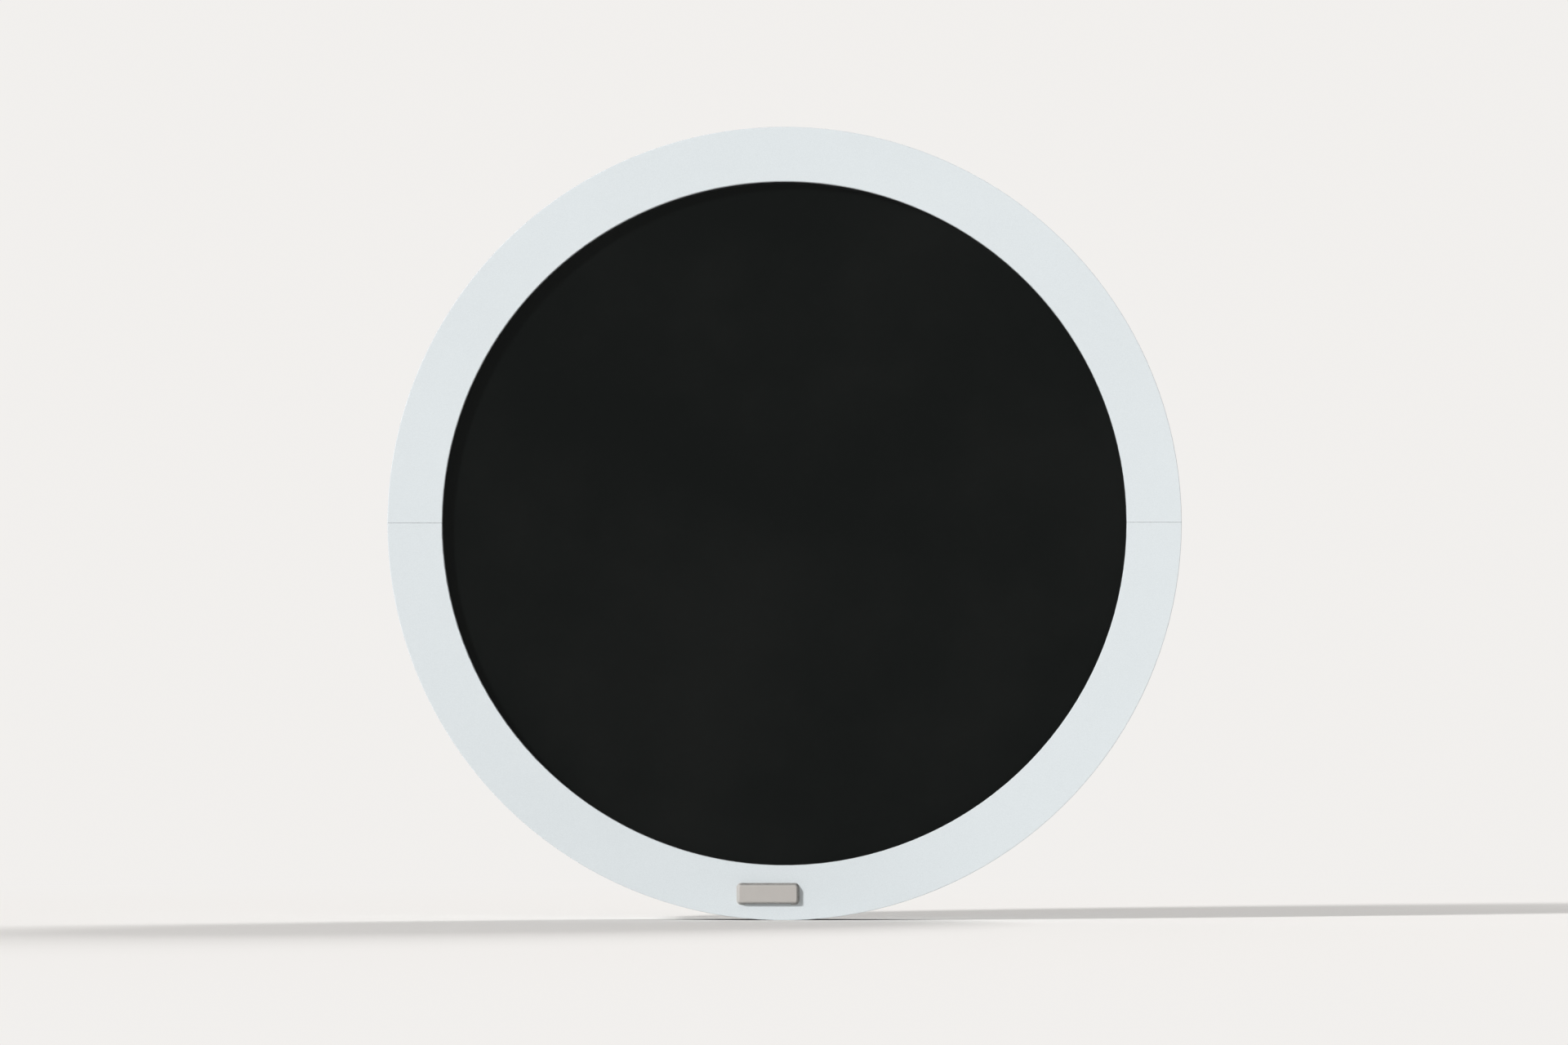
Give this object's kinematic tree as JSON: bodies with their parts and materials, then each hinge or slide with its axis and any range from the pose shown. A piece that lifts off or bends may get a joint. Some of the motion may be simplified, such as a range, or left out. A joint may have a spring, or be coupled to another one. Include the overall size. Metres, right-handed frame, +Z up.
{
  "type": "round window",
  "caption": "Round fixed window: a flat silver-grey aluminium frame with a thermal break, a sealed insulating glass unit and a small drain cap low on the outside.",
  "frame": {"origin": "on the window's axis, in the plane of the frame's outside face", "axes": "+Y along the window's axis into the room, +Z up, +X to the right as seen from outside"},
  "size_m": [0.696, 0.0835, 0.6959],
  "materials": {
    "frame_coat": "satin",
    "thermal_break": "matte",
    "gasket_rubber": "matte",
    "tinted_glass": "gloss",
    "clear_glass": "gloss",
    "spacer_plastic": "matte",
    "butyl": "satin",
    "edge_sealant": "matte",
    "desiccant_beads": "matte",
    "block_plastic": "matte",
    "bridge_plastic": "matte",
    "clip_plastic": "matte",
    "steel": "satin",
    "splice_aluminium": "satin",
    "cap_plastic": "satin"
  },
  "bodies": {
    "root": {"bead_clip_1": "clip_plastic", "bead_clip_2": "clip_plastic", "bead_clip_3": "clip_plastic", "bead_clip_4": "clip_plastic", "bead_clip_5": "clip_plastic", "bead_clip_6": "clip_plastic", "bead_clip_7": "clip_plastic", "bead_clip_8": "clip_plastic", "block_bridge_1": "bridge_plastic", "block_bridge_2": "bridge_plastic", "block_bridge_3": "bridge_plastic", "block_bridge_4": "bridge_plastic", "block_bridge_5": "bridge_plastic", "block_bridge_6": "bridge_plastic", "clip_screws": "steel", "drain_cap": "cap_plastic", "glazing_bead_lower": "frame_coat", "glazing_bead_upper": "frame_coat", "glazing_block_1": "block_plastic", "glazing_block_2": "block_plastic", "glazing_block_3": "block_plastic", "glazing_block_4": "block_plastic", "glazing_block_5": "block_plastic", "glazing_block_6": "block_plastic", "inner_butyl_back": "butyl", "inner_butyl_front": "butyl", "inner_desiccant": "desiccant_beads", "inner_edge_seal": "edge_sealant", "inner_gasket": "gasket_rubber", "inner_pane": "clear_glass", "inner_shell_lower": "frame_coat", "inner_shell_upper": "frame_coat", "inner_spacer": "spacer_plastic", "inner_splice_left": "splice_aluminium", "inner_splice_right": "splice_aluminium", "middle_pane": "clear_glass", "outer_butyl_back": "butyl", "outer_butyl_front": "butyl", "outer_desiccant": "desiccant_beads", "outer_edge_seal": "edge_sealant", "outer_gasket": "gasket_rubber", "outer_pane": "tinted_glass", "outer_shell_lower": "frame_coat", "outer_shell_upper": "frame_coat", "outer_spacer": "spacer_plastic", "outer_splice_left": "splice_aluminium", "outer_splice_right": "splice_aluminium", "rebate_strip_lower": "thermal_break", "rebate_strip_upper": "thermal_break", "rim_strip_lower": "thermal_break", "rim_strip_upper": "thermal_break", "splice_pins": "steel"}
  },
  "joints": []
}
